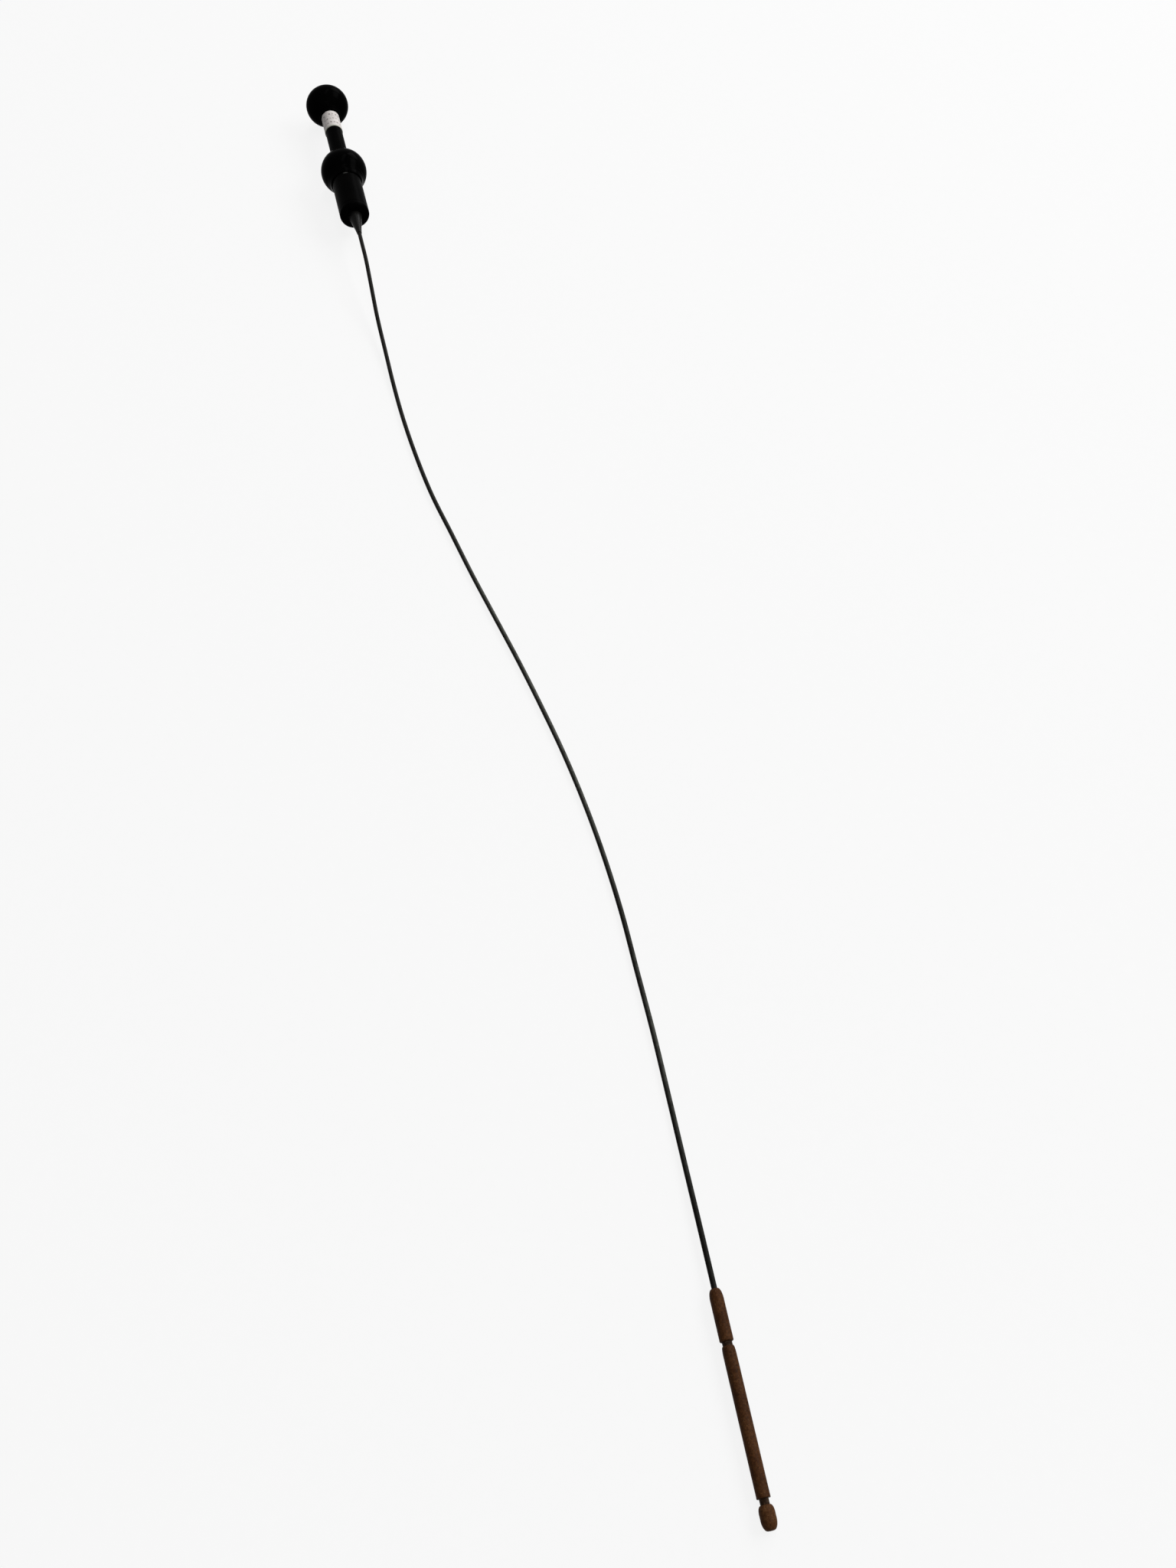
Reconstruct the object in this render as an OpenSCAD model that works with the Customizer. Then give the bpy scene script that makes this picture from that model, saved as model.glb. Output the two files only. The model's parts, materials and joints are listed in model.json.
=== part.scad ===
// Cable shutter release, lying on a table.
// The plunger handle lies along +X and its cable runs on to the threaded camera end. Z = 0 is the table.
// The origin is on the table, under the middle of the handle. Every size is in millimetres.

/* [Thumb knob] */
// Diameter of the thumb knob
knob_d = 21.6; // [17:0.2:28]
// Thickness of the thumb knob, whose rim is fully rounded
knob_t = 15; // [10:0.2:17]
// Wall of the neck below the knob
neck_wall = 1.5; // [0.8:0.1:3]
// Length of the neck between the knob and the label sleeve
neck_len = 3.2; // [1:0.1:8]
// Depth of the stem's socket, measured into the neck
knob_socket = 7.3; // [4:0.1:11]

/* [Plunger] */
// Diameter of the plunger stem
stem_d = 8.4; // [8:0.1:8.8]
// Wall of the plunger stem
stem_wall = 1.5; // [1:0.1:2]
// Stem that shows between the label sleeve and the finger ball at rest
stem_reach = 22; // [16:0.2:34]
// How far the label sleeve stands proud of the stem
label_proud = 0.3; // [0.1:0.05:0.5]
// Length of the label sleeve
label_len = 12.7; // [6:0.1:20]
// Wall of the label sleeve
label_wall = 0.6; // [0.5:0.05:0.8]
// Diameter of the rod inside the stem
rod_d = 3; // [2:0.1:3.4]
// How far the rod goes into the knob past the stem's socket
rod_seat = 4; // [2:0.1:6]
// How far the rod stands out below the plunger stop
rod_tail = 3; // [1:0.1:5]
// Travel of the plunger from rest to fully pressed
travel = 10; // [6:0.5:12]

/* [Plunger stop] */
// Clearance of the stop's flange in the spring chamber, all round
stop_clear = 0.3; // [0.1:0.05:0.6]
// Thickness of the stop's flange
stop_t = 2; // [1:0.1:3]
// Length of the stop's spigot inside the stem
stop_spigot = 5; // [2:0.5:10]

/* [Finger ball] */
// Diameter of the finger ball
ball_d = 22.6; // [21.2:0.2:28]
// Length of the finger ball along the handle, whose rim is fully rounded
ball_len = 20.8; // [18:0.2:22]
// How far the ball's foot stands back from the end of its rounding
foot_back = 0.2; // [0:0.1:2]
// Length of the skirt that runs out to the foot
skirt_len = 3.2; // [1:0.1:4]
// How far the skirt stands out from the barrel at the foot
skirt_out = 0.5; // [0.2:0.1:1.5]
// How far the lip round the stem stands out of the ball
lip_out = 0.6; // [0.2:0.1:1.5]
// Length of the lip
lip_len = 1.6; // [1:0.1:3]
// Wall of the lip at its end
lip_wall = 0.7; // [0.3:0.1:1.5]
// Depth of the barrel's socket, from the foot
socket_depth = 13.2; // [9:0.1:14]

/* [Guide bush] */
// Wall of the bush's body
bush_wall = 1.2; // [0.6:0.1:1.6]
// Thickness of the ball's back over the bush
bush_roof = 1.5; // [1:0.1:3]
// Thickness of the bush's flange
bush_flange_t = 1.2; // [0.8:0.1:2]

/* [Barrel] */
// Diameter of the spring chamber
chamber_d = 11.4; // [10.4:0.1:12.6]
// Wall of the barrel
barrel_wall = 1.5; // [1:0.1:2]
// Barrel that shows between the ball's foot and the end cap
barrel_len = 22; // [19:0.1:40]
// How far the barrel stands out from its spigot inside the ball
barrel_step = 0.4; // [0.2:0.05:0.6]
// Length of the end cap
cap_len = 3.5; // [3:0.1:6]
// Rounding of the end cap's edge
cap_round = 1.8; // [0.5:0.1:3]
// Length of the end cap's spigot inside the barrel
cap_spigot = 3.7; // [2:0.1:5]

/* [Return spring] */
// Clearance of the spring in its chamber, all round
spring_clear = 0.45; // [0.2:0.05:0.6]
// Diameter of the spring's wire
spring_wire = 0.8; // [0.5:0.1:1]
// Number of turns
spring_turns = 10; // [7:1:12]
// Thickness of the seat washer under the spring
seat_t = 0.8; // [0.5:0.1:1.5]
// Clearance of the seat washer in the chamber, all round
seat_clear = 0.2; // [0.05:0.05:0.5]

/* [Cable anchor] */
// Wall of the anchor tube
anchor_wall = 1.1; // [0.5:0.1:1.4]
// Diameter of the anchor's flange
anchor_flange_d = 6.8; // [5:0.1:7.4]
// Thickness of the anchor's flange
anchor_flange_t = 1.5; // [0.8:0.1:2.5]
// Clear way between the rod and the anchor tube when fully pressed
rod_clear = 1.1; // [0.5:0.1:2]
// Clear way between the handle wire and the cable when fully pressed
wire_clear = 0.5; // [0.3:0.1:2]
// How far the strain relief stands out from its root inside the end cap
root_step = 0.6; // [0.3:0.1:1]
// Length of the strain relief's root
root_len = 1.7; // [1:0.1:2.4]
// Diameter of the strain relief where it leaves the end cap
relief_d = 6.8; // [6:0.1:8]
// Wall of the strain relief at its tip
relief_tip_wall = 0.2; // [0.15:0.05:0.5]
// Length of the strain relief outside the end cap
relief_len = 12.8; // [8:0.1:16]

/* [Cable] */
// Diameter of the cable
cable_d = 1.9; // [1.4:0.1:2.2]
// Diameter of the inner wire
wire_d = 0.6; // [0.4:0.05:0.7]
// Depth of the wire's socket in the rod and in the release pin
wire_socket = 6; // [2:0.5:8]
// How far the wire enters the anchor tube at rest
wire_entry = 2; // [1:0.1:3]

/* [Ferrule] */
// Wall of the ferrule round the swivel tube
ferrule_wall = 0.62; // [0.4:0.02:1.2]
// Length of the ferrule
ferrule_len = 16.2; // [14:0.1:22]
// Length of the ferrule's bullet-shaped top
ferrule_dome = 3.4; // [1:0.1:6]
// Wall of the ferrule's top round the cable
ferrule_lip = 0.15; // [0.1:0.05:0.3]
// Chamfer of the ferrule's lower end
ferrule_edge = 0.4; // [0.1:0.05:0.6]

/* [Swivel] */
// Diameter of the swivel tube
swivel_d = 3.2; // [2.6:0.1:3.8]
// Length of the swivel tube held in the ferrule
swivel_hold = 4.2; // [2:0.1:8]
// Swivel tube that shows between the ferrule and the turning sleeve
swivel_gap = 1.4; // [1:0.1:3]
// Wall of the ring that keeps the sleeve on the swivel tube
ring_wall = 0.22; // [0.15:0.01:0.4]
// Thickness of that ring
ring_t = 1; // [0.6:0.1:1.4]

/* [Turning sleeve] */
// Wall of the turning sleeve
sleeve_wall = 0.26; // [0.22:0.02:0.8]
// Length of the turning sleeve
sleeve_len = 43.5; // [40:0.5:60]
// Length of the sleeve's rounded shoulder
sleeve_dome = 2.8; // [1:0.1:4]
// Wall of the shoulder's top round the swivel tube
sleeve_lip = 0.15; // [0.1:0.05:0.3]
// Chamfer of the sleeve's lower end
sleeve_edge = 0.15; // [0.05:0.05:0.15]
// Length of the narrow bore that turns on the swivel tube
sleeve_bearing = 2.4; // [1.5:0.1:3]

/* [Camera nose] */
// Diameter of the nose
nose_d = 4.9; // [4:0.1:6]
// Length of the nose
nose_len = 6.9; // [5:0.1:10]
// Rounding of the nose's shoulder
nose_shoulder = 1.1; // [0.3:0.1:1.4]
// Rounding of the nose's end
nose_end = 1.8; // [0.5:0.1:1.9]
// Diameter of the stem that carries the nose
nose_stem_d = 2.9; // [2:0.1:3.2]
// Nose stem that shows between the sleeve and the nose
nose_gap = 1.8; // [0.5:0.1:3]
// Length of the nose stem's root inside the sleeve
nose_root = 5; // [3:0.1:8]
// How far the nose stem reaches into the nose
nose_hold = 4; // [2:0.1:5]

/* [Release pin] */
// Diameter of the release pin
pin_d = 1.2; // [1:0.05:1.4]
// How far the pin's end lies inside the nose at rest
pin_inset = 0.2; // [0:0.1:1]
// Clearance of the pin's head in the sleeve's chamber, all round
pin_head_clear = 0.2; // [0.1:0.05:0.4]
// Thickness of the pin's head
pin_head_t = 1.5; // [0.8:0.1:2]
// Clear way between the pin's head and the nose stem's root when fully pressed
pin_stop = 1.5; // [0.5:0.1:3]

/* [Fits] */
// Radial clearance of pieces that slide or turn
run_gap = 0.05; // [0.02:0.01:0.08]
// Radial clearance of pieces that are pressed or bonded together
seat_gap = 0.02; // [0.01:0.01:0.05]
// End clearance where moving faces come to rest
end_gap = 0.1; // [0.05:0.05:0.2]

/* [Hidden] */
$fn = 64;
// Overshoot of a cut past the face that it opens
cut = 1;
// Points on a shaped outline
OUTLINE_STEPS = 8;
// How hollow the strain relief's taper is, where 1 is a straight cone
RELIEF_CURVE = 1.2;

// Places along the handle, measured from the middle of the finger ball towards the cable
foot = ball_len / 2 - foot_back;
bush_top = bush_roof - ball_len / 2;
shoulder = foot - socket_depth;
bush_face = shoulder + bush_flange_t;
stop_face = bush_face + end_gap;
stop_bottom = stop_face + stop_t;
rod_end = stop_bottom + rod_tail;
label_end = -ball_len / 2 - stem_reach;
label_top = label_end - label_len;
socket_end = label_top - knob_socket;
knob_front = label_top - neck_len;
knob_back = knob_front - knob_t;
cap_joint = foot + barrel_len;
cap_face = cap_joint + cap_len;
cap_inner = cap_joint - cap_spigot;
seat_face = cap_inner - seat_t;
flange_face = seat_face - anchor_flange_t;
anchor_mouth = rod_end + travel + rod_clear;
anchor_end = cap_face - root_len;
cable_start = anchor_mouth + wire_entry + travel + wire_clear;
cable_exit = cap_face + relief_len;

// The handle's middle stands over the origin, and the finger ball rests on the table
ball_x = -(knob_back + cable_exit) / 2;
axis_z = ball_d / 2;
exit_x = ball_x + cable_exit;

// Radii, each from the piece inside it or round it
stem_r = stem_d / 2;
label_r = stem_r + label_proud;
label_bore_r = label_r - label_wall;
journal_r = label_bore_r - seat_gap;
stem_bore_r = stem_r - stem_wall;
stem_way_r = stem_r + run_gap;
neck_r = label_bore_r + neck_wall;
rod_r = rod_d / 2;
ball_r = ball_d / 2;
bush_r = stem_way_r + bush_wall;
chamber_r = chamber_d / 2;
barrel_r = chamber_r + barrel_wall;
spigot_r = barrel_r - barrel_step;
skirt_r = barrel_r + skirt_out;
stop_r = chamber_r - stop_clear;
seat_r = chamber_r - seat_clear;
coil_r = chamber_r - spring_clear - spring_wire / 2;
cable_r = cable_d / 2;
cable_bore_r = cable_r + seat_gap;
wire_r = wire_d / 2;
wire_way_r = wire_r + run_gap;
anchor_r = cable_bore_r + anchor_wall;
relief_r = relief_d / 2;
root_r = relief_r - root_step;
swivel_r = swivel_d / 2;
swivel_way_r = swivel_r + run_gap;
ferrule_r = swivel_r + seat_gap + ferrule_wall;
ring_r = swivel_r + seat_gap + ring_wall;
sleeve_chamber_r = ring_r + run_gap;
sleeve_r = sleeve_chamber_r + sleeve_wall;
nose_stem_r = nose_stem_d / 2;
nose_r = nose_d / 2;
pin_r = pin_d / 2;
pin_way_r = pin_r + run_gap;
pin_head_r = sleeve_chamber_r - pin_head_clear;

// Places along the camera end, measured from the top of the ferrule
ferrule_grip = ferrule_len - swivel_hold;
sleeve_top = ferrule_len + swivel_gap;
bearing_end = sleeve_top + sleeve_bearing;
ring_top = bearing_end + end_gap;
swivel_end = ring_top + ring_t;
sleeve_end = sleeve_top + sleeve_len;
nose_top = sleeve_end + nose_gap;
nose_tip = nose_top + nose_len;
root_top = sleeve_end - nose_root;
pin_tip = nose_tip - pin_inset;
pin_head_face = root_top - travel - pin_stop;
pin_back = pin_head_face - pin_head_t;

// Air under the cable where it lies on the table, and the height of its middle there
cable_air = 0.05;
rest_z = cable_r + cable_air;
// Height of the camera end's axis, whose nose rests on the table
fit_z = nose_r;
// Turn of the camera end about Z
fit_turn = -2.7;
// The cable's route from its exit to the top of the ferrule. X is measured from the exit.
ROUTE = [
    [0, 0, axis_z], [8, 0, axis_z], [20, 0, 10.5], [36, -0.5, 8.5], [54, -1, 5], [74, -1, 2.6],
    [96, -1, 1.25], [118, -0.5, rest_z], [142, 1, rest_z], [166, 3.5, rest_z], [190, 7.5, rest_z],
    [214, 11.5, rest_z], [238, 16, rest_z], [262, 20.5, rest_z], [286, 24.5, rest_z],
    [310, 28, rest_z], [334, 30.5, rest_z], [358, 32, rest_z], [382, 32.5, rest_z],
    [406, 32, rest_z], [430, 31.5, rest_z], [454, 30.5, rest_z], [476, 29.5, 1.25],
    [498, 28.5, 1.9], [518.4, 27.5, fit_z]
];
// Rings of the cable between two points of its route
ROUTE_STEPS = 3;
CABLE_SIDES = 8;
// Rings of the spring in one turn, and sides of its wire
TURN_RINGS = 8;
WIRE_SIDES = 6;
// Air between the closed turns at each end of the spring
closed_air = 0.5;

// ---- Places -------------------------------------------------------------

// Puts a shape that stands on the XY plane on the handle's axis, at a place along it
module on_handle(place) {
    translate([ball_x + place, 0, axis_z])
        rotate([0, 90, 0])
            children();
}

// The same for the camera end
module on_fitting(place) {
    translate([exit_x, 0, 0] + [ROUTE[len(ROUTE) - 1].x, ROUTE[len(ROUTE) - 1].y, fit_z])
        rotate([0, 0, fit_turn])
            translate([place, 0, 0])
                rotate([0, 90, 0])
                    children();
}

// ---- Shapes -------------------------------------------------------------

// A round bar with its two edges rounded
module rounded_bar(r, length, near_edge, far_edge) {
    rotate_extrude()
        intersection() {
            square([r, length]);
            union() {
                square([r - max(near_edge, far_edge), length]);
                translate([0, near_edge])
                    square([r, length - near_edge - far_edge]);
                if (near_edge > 0)
                    translate([r - near_edge, near_edge])
                        circle(near_edge);
                if (far_edge > 0)
                    translate([r - far_edge, length - far_edge])
                        circle(far_edge);
            }
        }
}

// A disc whose rim is fully rounded, with a straight band in the middle if it is longer than it is wide
module rounded_disc(r, thickness) {
    edge = rim_edge(r, thickness);
    band = thickness - 2 * edge;
    rotate_extrude()
        intersection() {
            square([r, thickness]);
            union() {
                if (edge < r)
                    square([r - edge, thickness]);
                translate([r - edge, edge])
                    circle(edge);
                if (band > 0) {
                    translate([0, edge])
                        square([r, band]);
                    translate([r - edge, thickness - edge])
                        circle(edge);
                }
            }
        }
}

function rim_edge(r, thickness) = min(r, thickness / 2);

// Radius of such a disc at a distance from its middle
function disc_radius(r, thickness, away) =
    let (edge = rim_edge(r, thickness), on_edge = max(abs(away) - (thickness / 2 - edge), 0))
        r - edge + sqrt(max(edge * edge - on_edge * on_edge, 0));

// Half of the outline of a bar whose top runs out from one radius to another as a quarter ellipse
function dome(r0, r1, length) = [
    for (i = [0:OUTLINE_STEPS])
        let (a = 90 * i / OUTLINE_STEPS)
            [r0 + (r1 - r0) * sin(a), length * (1 - cos(a))]
];

// A round bar with such a top and a chamfered end
module domed_bar(r0, r1, dome_len, length, edge) {
    rotate_extrude()
        polygon(concat(
            [[0, 0]],
            dome(r0, r1, dome_len),
            [[r1, length - edge], [r1 - edge, length], [0, length]]
        ));
}

// A hole with its mouth at one place and its end at another, both cut on
module bore(r, from, to) {
    translate([0, 0, from])
        cylinder(h = to - from, r = r);
}

// A closed tube through rings of points, each ring counted anticlockwise along the way
module skin(rings) {
    sides = len(rings[0]);
    last = len(rings) - 1;
    points = [for (ring = rings) for (p = ring) p];
    walls = [
        for (i = [0:last - 1])
            for (j = [0:sides - 1])
                let (a = i * sides + j, b = i * sides + (j + 1) % sides)
                    for (face = [[a, a + sides, b + sides], [a, b + sides, b]])
                        face
    ];
    near_end = [for (j = [1:sides - 2]) [0, j, j + 1]];
    far_end = [for (j = [1:sides - 2]) [last * sides, last * sides + j + 1, last * sides + j]];
    polyhedron(points = points, faces = concat(walls, near_end, far_end));
}

function unit(v) = v / norm(v);

// A ring round a point, square to a direction that isn't vertical
function ring_across(centre, way, r, sides) =
    let (side = unit(cross([0, 0, 1], way)), up = cross(way, side))
        [
            for (j = [0:sides - 1])
                let (a = 360 * (j + 0.5) / sides)
                    centre + r * (cos(a) * side + sin(a) * up)
        ];

// A point and its direction on the smooth curve through a, b, c and d, between b and c
function curve_point(a, b, c, d, t) =
    0.5 * (2 * b + (c - a) * t + (2 * a - 5 * b + 4 * c - d) * t * t + (3 * b - a - 3 * c + d) * t * t * t);
function curve_way(a, b, c, d, t) =
    unit((c - a) + 2 * (2 * a - 5 * b + 4 * c - d) * t + 3 * (3 * b - a - 3 * c + d) * t * t);

// ---- Plunger ------------------------------------------------------------

module thumb_knob() {
    color("#101011")
        on_handle(knob_back)
            difference() {
                union() {
                    rounded_disc(knob_d / 2, knob_t);
                    translate([0, 0, knob_t / 2])
                        cylinder(h = knob_t / 2 + neck_len, r = neck_r);
                }
                bore(label_bore_r, socket_end - knob_back, label_top - knob_back + cut);
                bore(rod_r + seat_gap, socket_end - rod_seat - knob_back, socket_end - knob_back + cut);
            }
}

module label_sleeve() {
    color("#e4e2dd")
        on_handle(label_top)
            difference() {
                cylinder(h = label_len, r = label_r);
                bore(label_bore_r, -cut, label_len + cut);
            }
}

// The stem narrows to a journal that carries the label sleeve and enters the knob
module plunger_stem() {
    color("#151516")
        on_handle(socket_end)
            difference() {
                union() {
                    cylinder(h = stop_face - socket_end, r = journal_r);
                    translate([0, 0, label_end - socket_end])
                        cylinder(h = stop_face - label_end, r = stem_r);
                }
                bore(stem_bore_r, -cut, stop_face - socket_end + cut);
            }
}

module plunger_rod() {
    rod_top = socket_end - rod_seat;
    color("#b4b5b4")
        on_handle(rod_top)
            difference() {
                cylinder(h = rod_end - rod_top, r = rod_r);
                bore(wire_r + seat_gap, rod_end - rod_top - wire_socket, rod_end - rod_top + cut);
            }
}

// Closes the stem, holds the rod, keeps the plunger in and takes the spring
module plunger_stop() {
    color("#b89a5a")
        on_handle(stop_face)
            difference() {
                union() {
                    cylinder(h = stop_t, r = stop_r);
                    translate([0, 0, -stop_spigot])
                        cylinder(h = stop_spigot + stop_t / 2, r = stem_bore_r - seat_gap);
                }
                bore(rod_r + seat_gap, -stop_spigot - cut, stop_t + cut);
            }
}

module handle_wire() {
    wire_top = rod_end - wire_socket;
    color("#9a9b9a")
        on_handle(wire_top)
            cylinder(h = anchor_mouth + wire_entry - wire_top, r = wire_r);
}

// ---- Handle body --------------------------------------------------------

// A lip surrounds the stem, and a skirt runs out to the foot that the barrel meets
module finger_ball() {
    stem_hole_r = stem_way_r + seat_gap;
    lip_end = -ball_len / 2 - lip_out;
    lip_root = lip_end + lip_len;
    skirt_top = foot - skirt_len;
    color("#101011")
        on_handle(0)
            difference() {
                union() {
                    translate([0, 0, -ball_len / 2])
                        rounded_disc(ball_r, ball_len);
                    translate([0, 0, lip_end])
                        cylinder(
                            h = lip_len,
                            r1 = stem_hole_r + lip_wall,
                            r2 = disc_radius(ball_r, ball_len, lip_root)
                        );
                    translate([0, 0, skirt_top])
                        cylinder(
                            h = skirt_len,
                            r1 = disc_radius(ball_r, ball_len, skirt_top),
                            r2 = skirt_r
                        );
                }
                bore(stem_hole_r, lip_end - cut, shoulder);
                bore(bush_r + seat_gap, bush_top, shoulder + cut);
                bore(spigot_r + seat_gap, shoulder, foot);
                translate([0, 0, foot])
                    cylinder(h = foot_back + cut, r = ball_r);
            }
}

module guide_bush() {
    bush_len = shoulder - bush_top;
    color("#c0a060")
        on_handle(bush_top)
            difference() {
                union() {
                    cylinder(h = bush_len + bush_flange_t, r = bush_r);
                    translate([0, 0, bush_len])
                        cylinder(h = bush_flange_t, r = spigot_r);
                }
                bore(stem_way_r, -cut, bush_len + bush_flange_t + cut);
            }
}

module barrel() {
    spigot_len = foot - bush_face;
    color("#161617")
        on_handle(bush_face)
            difference() {
                union() {
                    cylinder(h = spigot_len + cut, r = spigot_r);
                    translate([0, 0, spigot_len])
                        cylinder(h = barrel_len, r = barrel_r);
                }
                bore(chamber_r, -cut, spigot_len + barrel_len + cut);
            }
}

// Height of the spring's wire after a number of turns: the end turns are closed
function spring_rise(turn) =
    let (
        shut = spring_wire + closed_air,
        inside = spring_len - spring_wire,
        open = (inside - 2 * shut) / (spring_turns - 2)
    )
        turn < 1 ? turn * shut
        : turn > spring_turns - 1 ? inside - (spring_turns - turn) * shut
        : shut + (turn - 1) * open;
function spring_centre(i) =
    let (turn = i / TURN_RINGS)
        [
            coil_r * cos(360 * turn),
            coil_r * sin(360 * turn),
            spring_wire / 2 + spring_rise(turn)
        ];
spring_len = seat_face - stop_bottom - end_gap;
spring_rings = spring_turns * TURN_RINGS;
spring_gap = min([
    for (i = [0:spring_rings])
        for (k = [i + TURN_RINGS / 2:1:spring_rings])
            norm(spring_centre(k) - spring_centre(i)) - spring_wire
]);
echo(str("return_spring: least gap to itself ", spring_gap, " mm"));

module return_spring() {
    color("#a9aaa8")
        on_handle(stop_bottom + end_gap / 2)
            skin([
                for (i = [0:spring_rings])
                    let (out = [cos(360 * i / TURN_RINGS), sin(360 * i / TURN_RINGS), 0])
                        [
                            for (j = [0:WIRE_SIDES - 1])
                                let (a = 360 * j / WIRE_SIDES)
                                    spring_centre(i) + spring_wire / 2 * (cos(a) * [0, 0, 1] + sin(a) * out)
                        ]
            ]);
}

module spring_seat() {
    color("#a9aaa8")
        on_handle(seat_face)
            difference() {
                cylinder(h = seat_t, r = seat_r);
                bore(anchor_r + seat_gap, -cut, seat_t + cut);
            }
}

module end_cap() {
    color("#161617")
        on_handle(cap_inner)
            difference() {
                union() {
                    cylinder(h = cap_spigot + cut, r = chamber_r - seat_gap);
                    translate([0, 0, cap_spigot])
                        rounded_bar(barrel_r, cap_len, 0, cap_round);
                }
                bore(anchor_r + seat_gap, -cut, cap_spigot + cap_len + cut);
                bore(root_r + seat_gap, anchor_end - cap_inner, cap_spigot + cap_len + cut);
            }
}

// Brass tube crimped on the cable's end; the wire slides in its upper bore
module cable_anchor() {
    color("#c0a060")
        on_handle(anchor_mouth)
            difference() {
                union() {
                    cylinder(h = anchor_end - anchor_mouth, r = anchor_r);
                    translate([0, 0, flange_face - anchor_mouth])
                        cylinder(h = anchor_flange_t, r = anchor_flange_d / 2);
                }
                bore(wire_way_r, -cut, cable_start - anchor_mouth + cut);
                bore(cable_bore_r, cable_start - anchor_mouth, anchor_end - anchor_mouth + cut);
            }
}

module strain_relief() {
    tip_r = cable_bore_r + relief_tip_wall;
    flare = [
        for (i = [0:OUTLINE_STEPS])
            let (t = i / OUTLINE_STEPS)
                [tip_r + (relief_r - tip_r) * pow(1 - t, RELIEF_CURVE), root_len + relief_len * t]
    ];
    color("#1b1c1b")
        on_handle(anchor_end)
            difference() {
                rotate_extrude()
                    polygon(concat(
                        [[0, 0], [root_r, 0], [root_r, root_len]],
                        flare,
                        [[0, root_len + relief_len]]
                    ));
                bore(cable_bore_r, -cut, root_len + relief_len + cut);
            }
}

// ---- Cable --------------------------------------------------------------

module cable() {
    last = len(ROUTE) - 1;
    fit_way = [cos(fit_turn), sin(fit_turn), 0];
    held_start = [cable_start - cable_exit, 0, axis_z];
    held_end = ROUTE[last] + ferrule_grip * fit_way;
    p = concat([held_start], ROUTE, [held_end]);
    color("#1d1f1c")
        translate([exit_x, 0, 0])
            skin(concat(
                [ring_across(held_start, [1, 0, 0], cable_r, CABLE_SIDES)],
                [ring_across(ROUTE[0], [1, 0, 0], cable_r, CABLE_SIDES)],
                [
                    for (i = [1:last])
                        for (s = [0:ROUTE_STEPS - 1])
                            let (t = s / ROUTE_STEPS)
                                if (i > 1 || s > 0)
                                    ring_across(
                                        curve_point(p[i - 1], p[i], p[i + 1], p[i + 2], t),
                                        curve_way(p[i - 1], p[i], p[i + 1], p[i + 2], t),
                                        cable_r, CABLE_SIDES
                                    )
                ],
                [ring_across(ROUTE[last], fit_way, cable_r, CABLE_SIDES)],
                [ring_across(held_end, fit_way, cable_r, CABLE_SIDES)]
            ));
}

// ---- Camera end ---------------------------------------------------------

module ferrule() {
    color("#3d2718")
        on_fitting(0)
            difference() {
                domed_bar(cable_bore_r + ferrule_lip, ferrule_r, ferrule_dome, ferrule_len, ferrule_edge);
                bore(cable_bore_r, -cut, ferrule_grip);
                bore(swivel_r + seat_gap, ferrule_grip, ferrule_len + cut);
            }
}

// Pressed into the ferrule; the turning sleeve runs on it
module swivel_tube() {
    color("#8d8f8a")
        on_fitting(ferrule_grip)
            difference() {
                cylinder(h = swivel_end - ferrule_grip, r = swivel_r);
                bore(wire_way_r, -cut, swivel_end - ferrule_grip + cut);
            }
}

module swivel_ring() {
    color("#8d8f8a")
        on_fitting(ring_top)
            difference() {
                cylinder(h = ring_t, r = ring_r);
                bore(swivel_r + seat_gap, -cut, ring_t + cut);
            }
}

module turning_sleeve() {
    color("#3d2718")
        on_fitting(sleeve_top)
            difference() {
                domed_bar(swivel_way_r + sleeve_lip, sleeve_r, sleeve_dome, sleeve_len, sleeve_edge);
                bore(swivel_way_r, -cut, bearing_end - sleeve_top + cut);
                bore(sleeve_chamber_r, bearing_end - sleeve_top, sleeve_len + cut);
            }
}

// Pressed into the turning sleeve; carries the nose and guides the pin
module nose_stem() {
    color("#7f847a")
        on_fitting(root_top)
            difference() {
                union() {
                    cylinder(h = nose_root, r = sleeve_chamber_r - seat_gap);
                    cylinder(h = nose_root + nose_gap + nose_hold, r = nose_stem_r);
                }
                bore(pin_way_r, -cut, nose_root + nose_gap + nose_hold + cut);
            }
}

module camera_nose() {
    color("#3d2718")
        on_fitting(nose_top)
            difference() {
                rounded_bar(nose_r, nose_len, nose_shoulder, nose_end);
                bore(nose_stem_r + seat_gap, -cut, nose_hold);
                bore(pin_way_r, 0, nose_len + cut);
            }
}

// ---- Release pin --------------------------------------------------------

module release_pin() {
    color("#6e6f6c")
        on_fitting(pin_back)
            difference() {
                union() {
                    cylinder(h = pin_head_t, r = pin_head_r);
                    cylinder(h = pin_tip - pin_back, r = pin_r);
                }
                bore(wire_r + seat_gap, -cut, wire_socket);
            }
}

module pin_wire() {
    wire_back = ferrule_grip + end_gap;
    color("#9a9b9a")
        on_fitting(wire_back)
            cylinder(h = pin_back + wire_socket - wire_back, r = wire_r);
}

thumb_knob();
label_sleeve();
plunger_stem();
plunger_rod();
plunger_stop();
handle_wire();
finger_ball();
guide_bush();
barrel();
return_spring();
spring_seat();
end_cap();
cable_anchor();
strain_relief();
cable();
ferrule();
swivel_tube();
swivel_ring();
turning_sleeve();
nose_stem();
camera_nose();
release_pin();
pin_wire();
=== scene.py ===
import json
import math

import bpy
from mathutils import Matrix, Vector, noise


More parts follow.
